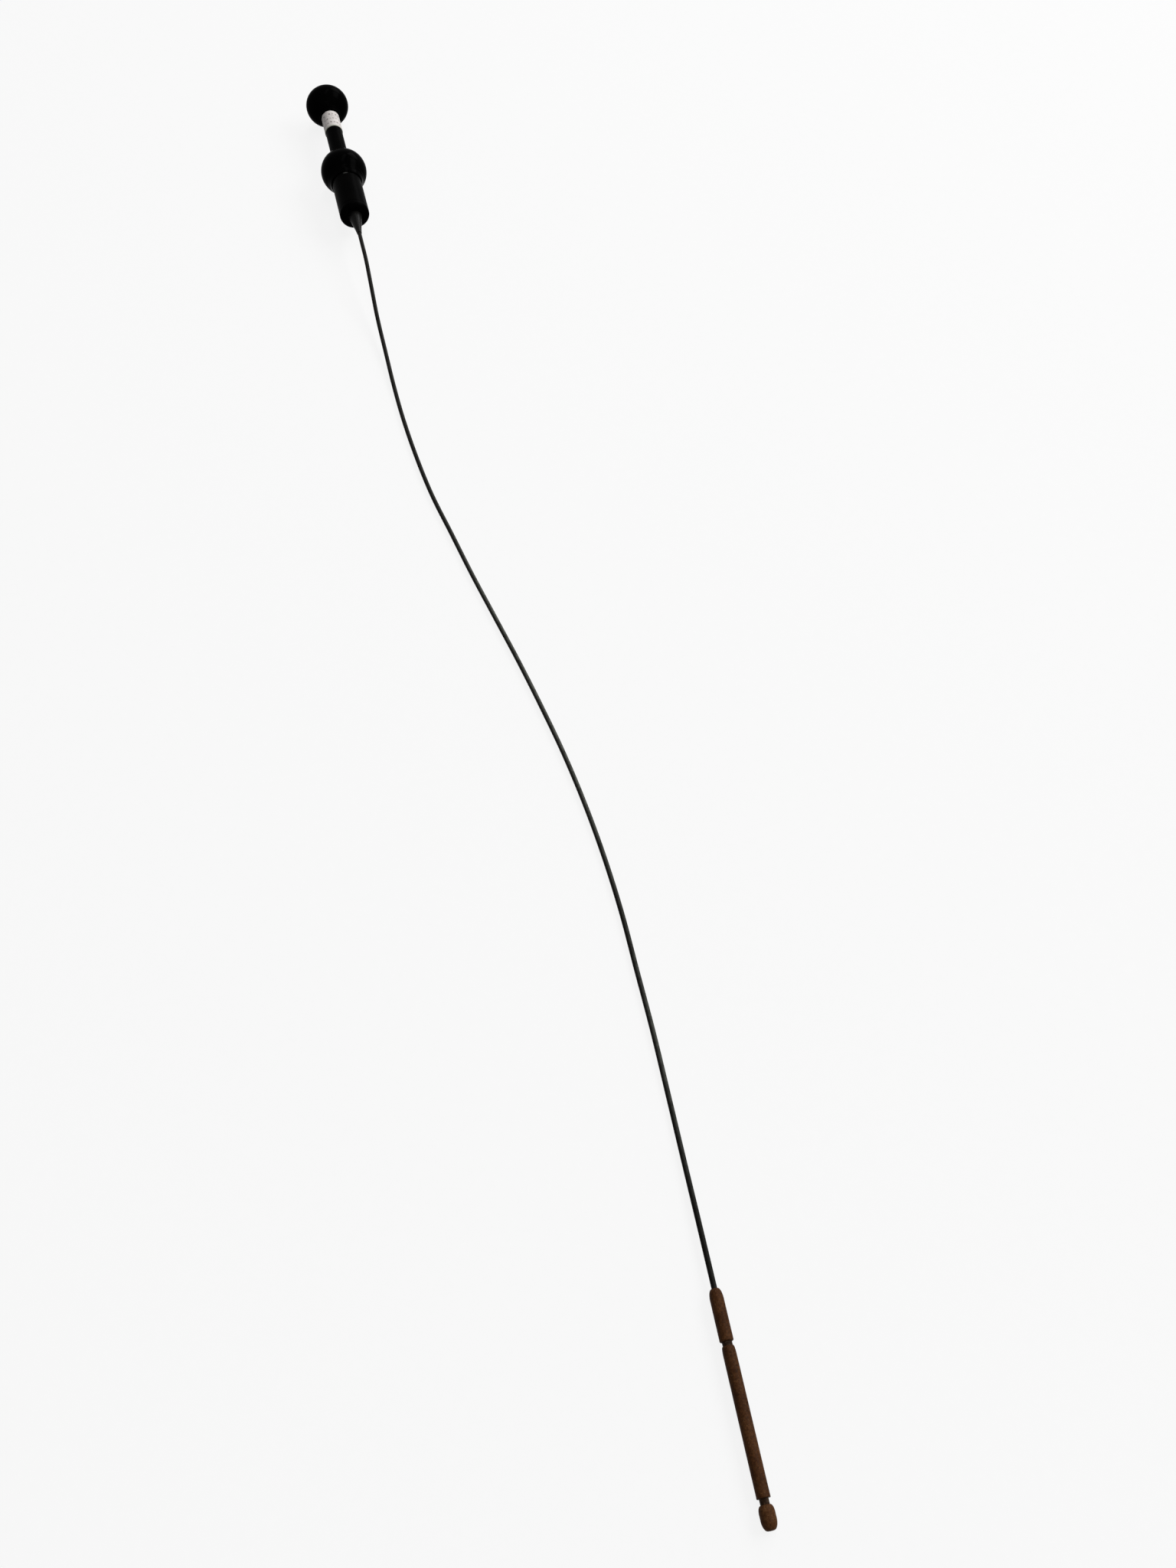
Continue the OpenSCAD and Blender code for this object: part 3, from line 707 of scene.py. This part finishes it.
# Lengths in mm that the boxes of the frame's nodes don't give
NECK_LEN = 3.2
NECK_WALL = 1.5
NECK_FILLET = 1.2
LABEL_WALL = 0.6
STEM_WALL = 1.5
BALL_LEN = 20.8
FOOT_BACK = 0.2
SKIRT_LEN = 3.2
SKIRT_OUT = 0.5
SKIRT_FILLET = 1.1
LIP_LEN = 1.6
LIP_WALL = 0.7
LIP_ROUND = 0.2
LIP_FILLET = 0.9
SOCKET_DEPTH = 13.2
BUSH_WALL = 1.2
BARREL_WALL = 1.5
BARREL_STEP = 0.4
CAP_ROUND = 1.8
ANCHOR_WALL = 1.1
ROOT_STEP = 0.6
RELIEF_TIP_WALL = 0.2
SPRING_WIRE = 0.8
CLOSED_AIR = 0.5
RUN_GAP = 0.05
SEAT_GAP = 0.02
TRAVEL = joint("plunger_press")["range_m"][1] / MM
# How hollow the relief's side is, where 1 is a plain cone
RELIEF_CURVE = 1.2
# The spring's turns, and the rings in a turn and the sides of its mesh
SPRING_TURNS = 10
SPRING_RINGS = 28
SPRING_SIDES = 12

stem_r = radius("plunger_stem")
label_r = radius("label_sleeve")
label_bore = label_r - LABEL_WALL
barrel_r = radius("barrel")
cable_bore = CABLE_D / 2 + SEAT_GAP


def make_knob():
    back, front = span("thumb_knob")
    out = radius("thumb_knob")
    neck = label_bore + NECK_WALL
    thick = front - back - NECK_LEN
    middle = back + thick / 2
    socket = span("plunger_stem")[0]
    rod_top = span("plunger_rod")[0]
    rod = radius("plunger_rod") + SEAT_GAP
    shell_end = front - SOFT_EDGE

    def radius_at(along):
        disc = bead(along, middle, thick, out)
        return smooth_max(disc, neck, NECK_FILLET) if along > middle else disc

    shell = sampled(back, shell_end, KNOB_STEPS, radius_at)[1:]
    mouth = rounded(
        (shell_end, neck, 0), (front, neck, SOFT_EDGE), (front, label_bore, EDGE),
        (socket, label_bore, 0), (socket, rod, 0), (rod_top, rod, 0),
    )[1:]
    outline = [Vector((back, 0))] + shell + mouth + [Vector((rod_top, 0))]
    return turned("knob", HANDLE, outline, "thumb_knob", segments=WIDE_SIDES, closed=False)


def make_label():
    first, last = span("label_sleeve")
    outline = rounded(
        (first, label_bore, FINE_EDGE), (first, label_r, EDGE),
        (last, label_r, EDGE), (last, label_bore, FINE_EDGE),
    )
    return turned("label", HANDLE, outline, "label_sleeve", longest=CLOSE_STEP)


def make_stem():
    first, last = span("plunger_stem")
    journal = label_bore - SEAT_GAP
    step = span("label_sleeve")[1]
    bore = stem_r - STEM_WALL
    outline = rounded(
        (first, bore, 0), (first, journal, EDGE), (step, journal, 0), (step, stem_r, EDGE),
        (last, stem_r, 0), (last, bore, 0),
    )
    return turned("stem", HANDLE, outline, "plunger_stem")


def make_ball():
    first, foot = span("finger_ball")
    out = radius("finger_ball")
    middle = foot + FOOT_BACK - BALL_LEN / 2
    stem_hole = stem_r + RUN_GAP + SEAT_GAP
    bush = stem_r + RUN_GAP + BUSH_WALL + SEAT_GAP
    bush_top = span("guide_bush")[0]
    spigot = barrel_r - BARREL_STEP + SEAT_GAP
    shoulder = foot - SOCKET_DEPTH
    skirt = barrel_r + SKIRT_OUT
    lip_edge = stem_hole + LIP_WALL
    lip_rise = (bead(first + LIP_LEN, middle, BALL_LEN, out) - lip_edge) / LIP_LEN
    hem_rise = (bead(foot - SKIRT_LEN, middle, BALL_LEN, out) - skirt) / SKIRT_LEN

    def radius_at(along):
        disc = bead(along, middle, BALL_LEN, out)
        if along < middle:
            return smooth_max(disc, lip_edge + (along - first) * lip_rise, LIP_FILLET)
        hem = skirt + (foot - along) * hem_rise - max(0.0, foot - along - SKIRT_LEN)
        return smooth_max(disc, hem, SKIRT_FILLET)

    shell_start = first + LIP_ROUND
    outline = rounded(
        (first, stem_hole, EDGE), (first, lip_edge, LIP_ROUND), (shell_start, radius_at(shell_start), 0),
    )[:-1]
    outline += sampled(shell_start, foot - EDGE, BALL_STEPS, radius_at)
    outline += bar_end(foot, radius_at(foot), spigot, EDGE)
    outline += [Vector(p) for p in (
        (shoulder, spigot), (shoulder, bush), (bush_top, bush), (bush_top, stem_hole),
    )]
    return turned("ball", HANDLE, outline, "finger_ball", segments=WIDE_SIDES)


def make_barrel():
    first, last = span("barrel")
    foot = span("finger_ball")[1]
    bore = barrel_r - BARREL_WALL
    spigot = barrel_r - BARREL_STEP
    outline = rounded(
        (first, bore, 0), (first, spigot, 0), (foot, spigot, 0), (foot, barrel_r, 0),
        (last, barrel_r, EDGE), (last, bore, 0),
    )
    return turned("barrel_tube", HANDLE, outline, "barrel")


def make_cap():
    first, last = span("end_cap")
    joint_x = span("barrel")[1]
    spigot = barrel_r - BARREL_WALL - SEAT_GAP
    root = radius("strain_relief") - ROOT_STEP + SEAT_GAP
    relief_start = span("strain_relief")[0]
    hole = cable_bore + ANCHOR_WALL + SEAT_GAP
    outline = rounded(
        (first, hole, 0), (first, spigot, 0), (joint_x, spigot, 0), (joint_x, barrel_r, EDGE),
        (last, barrel_r, CAP_ROUND), (last, root, EDGE), (relief_start, root, 0), (relief_start, hole, 0),
    )
    return turned("cap", HANDLE, outline, "end_cap", longest=CLOSE_STEP)


def make_relief():
    first, last = span("strain_relief")
    out = radius("strain_relief")
    face = span("end_cap")[1]
    tip = cable_bore + RELIEF_TIP_WALL
    root = out - ROOT_STEP

    def radius_at(along):
        t = (along - face) / (last - face)
        return tip + (out - tip) * (1 - t) ** RELIEF_CURVE

    shell = sampled(face, last, RELIEF_STEPS, radius_at)
    outline = [Vector((first, cable_bore)), Vector((first, root)), Vector((face, root))] + shell
    outline += [Vector((last, cable_bore))]
    return turned("relief", HANDLE, outline, "strain_relief", segments=NECK_SIDES, longest=CLOSE_STEP)


def make_spring():
    first, last = span("return_spring")
    wire = SPRING_WIRE / 2
    coil = radius("return_spring") - wire
    shut = SPRING_WIRE + CLOSED_AIR
    inside = last - first - SPRING_WIRE
    rise = (inside - 2 * shut) / (SPRING_TURNS - 2)
    path = []
    for i in range(SPRING_TURNS * SPRING_RINGS + 1):
        turn = i / SPRING_RINGS
        if turn < 1:
            along = turn * shut
        elif turn > SPRING_TURNS - 1:
            along = inside - (SPRING_TURNS - turn) * shut
        else:
            along = shut + (turn - 1) * rise
        path.append(HANDLE.point(first + wire + along, coil, 2 * math.pi * turn))
    mesh = tube_mesh("spring_coil", path, lambda point, across: wire * MM, SPRING_SIDES)
    spring = stand_for("spring_coil", mesh, "return_spring")
    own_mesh(spring)
    return spring


for make in (make_knob, make_label, make_stem, make_ball, make_barrel, make_cap, make_relief, make_spring):
    make()


# ---- Camera end -----------------------------------------------------------

# Lengths in mm. Places are measured from the top of the ferrule.
FERRULE_WALL = 0.62
FERRULE_DOME = 3.4
FERRULE_EDGE = 0.4
SWIVEL_D = 3.2
SWIVEL_GAP = 1.4
RING_WALL = 0.22
RING_T = 1.0
END_GAP = 0.1
SLEEVE_WALL = 0.26
SLEEVE_LEN = 43.5
SLEEVE_DOME = 2.8
SLEEVE_EDGE = 0.15
SLEEVE_BEARING = 2.4
TOP_WALL = 0.15
NOSE_D = 4.9
NOSE_LEN = 6.9
NOSE_GAP = 1.8
NOSE_SHOULDER = 2.2
NOSE_END = 3.0
NOSE_FACE_R = 0.95
NOSE_STEM_D = 2.9
NOSE_ROOT = 5.0
NOSE_HOLD = 4.0
THREAD_PITCH = 0.55
THREAD_DEPTH = 0.04
THREAD_STEP = 0.07
PIN_D = 1.2
PIN_INSET = 0.2
PIN_HEAD_CLEAR = 0.2
PIN_HEAD_T = 1.5
PIN_STOP = 1.5
WIRE_D = 0.6
WIRE_SOCKET = 6.0
# Unevenness of the brown pieces: its depth and its size in mm, and its seed, and their meshes' step
FERRULE_DENT = (0.04, 2.2, 3)
SLEEVE_DENT = (0.03, 3.1, 8)
DENT_STEP = 0.35
# How much of the thread's depth is left, and by how much that varies
THREAD_LEFT = 0.6
THREAD_VARIES = 0.4

swivel_r = SWIVEL_D / 2
swivel_way = swivel_r + RUN_GAP
swivel_seat = swivel_r + SEAT_GAP
chamber_r = swivel_seat + RING_WALL + RUN_GAP
sleeve_r = chamber_r + SLEEVE_WALL
ferrule_r = swivel_seat + FERRULE_WALL
nose_stem_r = NOSE_STEM_D / 2
nose_r = NOSE_D / 2
pin_r = PIN_D / 2
pin_way = pin_r + RUN_GAP
sleeve_top = FERRULE_LEN + SWIVEL_GAP
bearing_end = sleeve_top + SLEEVE_BEARING
swivel_end = bearing_end + END_GAP + RING_T
sleeve_end = sleeve_top + SLEEVE_LEN
nose_top = sleeve_end + NOSE_GAP
nose_tip = nose_top + NOSE_LEN
root_top = sleeve_end - NOSE_ROOT
pin_back = root_top - TRAVEL - PIN_STOP - PIN_HEAD_T


def quarter(start, r0, end, r1):
    """A quarter ellipse that leaves (start, r0) square to the axis and comes to (end, r1) along it."""
    turns = [math.pi / 2 * k / QUARTER_STEPS for k in range(QUARTER_STEPS + 1)]
    return [Vector((start + (end - start) * (1 - math.cos(t)), r0 + (r1 - r0) * math.sin(t))) for t in turns]


def dented(depth, size_mm, seed):
    """A slight unevenness, inward only."""
    def shape(along, out, turn):
        place = Vector((along, out * math.cos(turn), out * math.sin(turn))) / size_mm
        return out - depth * (0.5 + 0.5 * noise.noise(place + Vector((seed, 0, 0))))
    return shape


def make_ferrule():
    outline = quarter(0, cable_bore + TOP_WALL, FERRULE_DOME, ferrule_r)
    outline += bar_end(FERRULE_LEN, ferrule_r, swivel_seat, FERRULE_EDGE)
    outline += [Vector(p) for p in ((FERRULE_GRIP, swivel_seat), (FERRULE_GRIP, cable_bore), (0, cable_bore))]
    return turned(
        "ferrule_tube", FITTING, outline, "ferrule",
        segments=SLEEVE_SIDES, longest=DENT_STEP, shape=dented(*FERRULE_DENT),
    )


def make_sleeve():
    outline = quarter(sleeve_top, swivel_way + TOP_WALL, sleeve_top + SLEEVE_DOME, sleeve_r)
    outline += bar_end(sleeve_end, sleeve_r, chamber_r, SLEEVE_EDGE)
    outline += [Vector(p) for p in (
        (bearing_end, chamber_r), (bearing_end, swivel_way), (sleeve_top, swivel_way),
    )]
    return turned(
        "sleeve_tube", FITTING, outline, "turning_sleeve",
        segments=SLEEVE_SIDES, longest=DENT_STEP, shape=dented(*SLEEVE_DENT),
    )


def make_swivel_tube():
    bore = WIRE_D / 2 + RUN_GAP
    outline = rounded(
        (FERRULE_GRIP, bore, 0), (FERRULE_GRIP, swivel_r, 0),
        (swivel_end, swivel_r, 0), (swivel_end, bore, 0),
    )
    return turned("swivel_neck", FITTING, outline, "swivel_tube", segments=NECK_SIDES, longest=NECK_STEP)


def make_nose_stem():
    root = chamber_r - SEAT_GAP
    end = nose_top + NOSE_HOLD
    outline = rounded(
        (root_top, pin_way, 0), (root_top, root, FINE_EDGE), (sleeve_end, root, FINE_EDGE),
        (sleeve_end, nose_stem_r, EDGE), (end, nose_stem_r, 0), (end, pin_way, 0),
    )
    return turned("nose_neck", FITTING, outline, "nose_stem", segments=NECK_SIDES, longest=NECK_STEP)


def make_nose():
    stem_bore = nose_stem_r + SEAT_GAP
    inner = nose_top + NOSE_HOLD
    outline = quarter(nose_top, stem_bore + FINE_EDGE, nose_top + NOSE_SHOULDER, nose_r)
    outline += reversed(quarter(nose_tip, NOSE_FACE_R, nose_tip - NOSE_END, nose_r))
    outline += [Vector(p) for p in (
        (nose_tip, pin_way + FINE_EDGE), (nose_tip - FINE_EDGE, pin_way),
        (inner, pin_way), (inner, stem_bore), (nose_top, stem_bore),
    )]
    first, last = nose_top + NOSE_SHOULDER, nose_tip - NOSE_END

    def shape(along, out, turn):
        if out < nose_r - THREAD_DEPTH:
            return out
        fade = max(0.0, min(1.0, (along - first) / THREAD_PITCH, (last - along) / THREAD_PITCH))
        groove = 0.5 - 0.5 * math.cos(2 * math.pi * along / THREAD_PITCH - turn)
        place = Vector((along * 0.6, math.cos(turn) * 1.3, math.sin(turn) * 1.3))
        left = THREAD_LEFT + THREAD_VARIES * noise.noise(place)
        return out - THREAD_DEPTH * groove * fade * left

    return turned("nose", FITTING, outline, "camera_nose", longest=THREAD_STEP, shape=shape)


def make_pin():
    tip = nose_tip - PIN_INSET
    head = chamber_r - PIN_HEAD_CLEAR
    head_end = pin_back + PIN_HEAD_T
    wire = WIRE_D / 2 + SEAT_GAP
    socket = pin_back + WIRE_SOCKET
    outline = rounded(
        (socket, 0, 0), (socket, wire, 0), (pin_back, wire, 0), (pin_back, head, EDGE),
        (head_end, head, EDGE), (head_end, pin_r, FINE_EDGE), (tip, pin_r, EDGE), (tip, 0, 0),
    )
    return turned("pin", FITTING, outline, "release_pin", PIN_SIDES, CLOSE_STEP, closed=False)


on_cable = [
    make() for make in (make_ferrule, make_swivel_tube, make_sleeve, make_nose_stem, make_nose, make_pin)
]
on_cable += [frame["nodes"][node] for node in ("swivel_ring", "pin_wire")]
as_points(cable_path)


# ---- CAD nodes that stay --------------------------------------------------

for node, piece in frame["nodes"].items():
    piece.data.materials.clear()
    piece.data.materials.append(MATERIALS[SLOT_OF[node]])


# ---- Floor and light ------------------------------------------------------

# Light of the sky and share of the floor's light that reach the object's own surfaces
SKY = 0.2
BOUNCE = 0.25
# How much of the floor's look is its own white, which no shadow darkens
FLOOR_GLOW = 0.86
# Half the floor's width in metres
FLOOR_HALF = 6


def seen_rays(tree):
    """1 for the rays that show a surface to the camera, directly or in another surface."""
    path = tree.nodes.new("ShaderNodeLightPath")
    seen = path.outputs["Is Camera Ray"]
    for kind in ("Is Glossy Ray", "Is Transmission Ray"):
        either = tree.nodes.new("ShaderNodeMath")
        either.operation = "MAXIMUM"
        tree.links.new(seen, either.inputs[0])
        tree.links.new(path.outputs[kind], either.inputs[1])
        seen = either.outputs[0]
    return seen


def floor_material():
    """A pale matt board, near white as the camera sees it, that keeps the shadows."""
    s = Surface("floor_board")
    grain = s.noise(4, detail=4)
    seen = seen_rays(s.tree)
    board = s.ramp(grain, (0.3, (0.6, 0.6, 0.6)), (0.7, (0.64, 0.64, 0.64)))
    s.set(
        Base_Color=s.mix(seen, (BOUNCE, BOUNCE, BOUNCE), board),
        Roughness=0.9,
        Specular_IOR_Level=0.0,
    )
    glow = s.node("ShaderNodeEmission")
    glow.inputs["Color"].default_value = (1, 1, 1, 1)
    glow.inputs["Strength"].default_value = 1
    blend = s.node("ShaderNodeMixShader")
    output = next(n for n in s.tree.nodes if n.type == "OUTPUT_MATERIAL")
    s.put(blend.inputs["Fac"], s.math("MULTIPLY", seen, FLOOR_GLOW))
    s.put(blend.inputs[1], s.shader.outputs["BSDF"])
    s.put(blend.inputs[2], glow.outputs["Emission"])
    s.put(output.inputs["Surface"], blend.outputs["Shader"])
    return s.material


floor_mesh = bpy.data.meshes.new("floor")
corners = [(x * FLOOR_HALF, y * FLOOR_HALF, 0) for x, y in ((-1, -1), (1, -1), (1, 1), (-1, 1))]
floor_mesh.from_pydata(corners, [], [(0, 1, 2, 3)])
floor_mesh.materials.append(floor_material())
floor = bpy.data.objects.new("floor", floor_mesh)
bpy.context.collection.objects.link(floor)

world = bpy.data.worlds.new("studio")
world.use_nodes = True
bpy.context.scene.world = world
background = next(n for n in world.node_tree.nodes if n.type == "BACKGROUND")
sky = world.node_tree.nodes.new("ShaderNodeMapRange")
sky.inputs["To Min"].default_value = SKY
world.node_tree.links.new(seen_rays(world.node_tree), sky.inputs["Value"])
world.node_tree.links.new(sky.outputs["Result"], background.inputs["Color"])


def lamp(name, at, target, size, power):
    """A soft rectangular lamp that faces a target."""
    data = bpy.data.lights.new(name, "AREA")
    data.shape = "RECTANGLE"
    data.size, data.size_y = size
    data.energy = power
    made = bpy.data.objects.new(name, data)
    made.location = at
    made.rotation_euler = (Vector(target) - Vector(at)).to_track_quat("-Z", "Y").to_euler()
    bpy.context.collection.objects.link(made)
    return made


# Name, place, target and size in metres, and power in watts
LAMPS = (
    ("window", (0.1, 1.8, 1.55), (0.25, 0, 0), (1.6, 1.0), 40),
    ("doorway", (-1.02, 1.13, 0.85), (0.3, 0.02, 0), (0.9, 0.8), 13),
    ("ceiling", (-0.45, 0.28, 1.9), (0.25, 0, 0), (0.35, 1.6), 9),
    ("far_wall", (1.9, 0.1, 0.93), (0, 0, 0), (0.7, 0.06), 2),
)
for settings in LAMPS:
    lamp(*settings)

bpy.context.scene.view_settings.view_transform = "Standard"
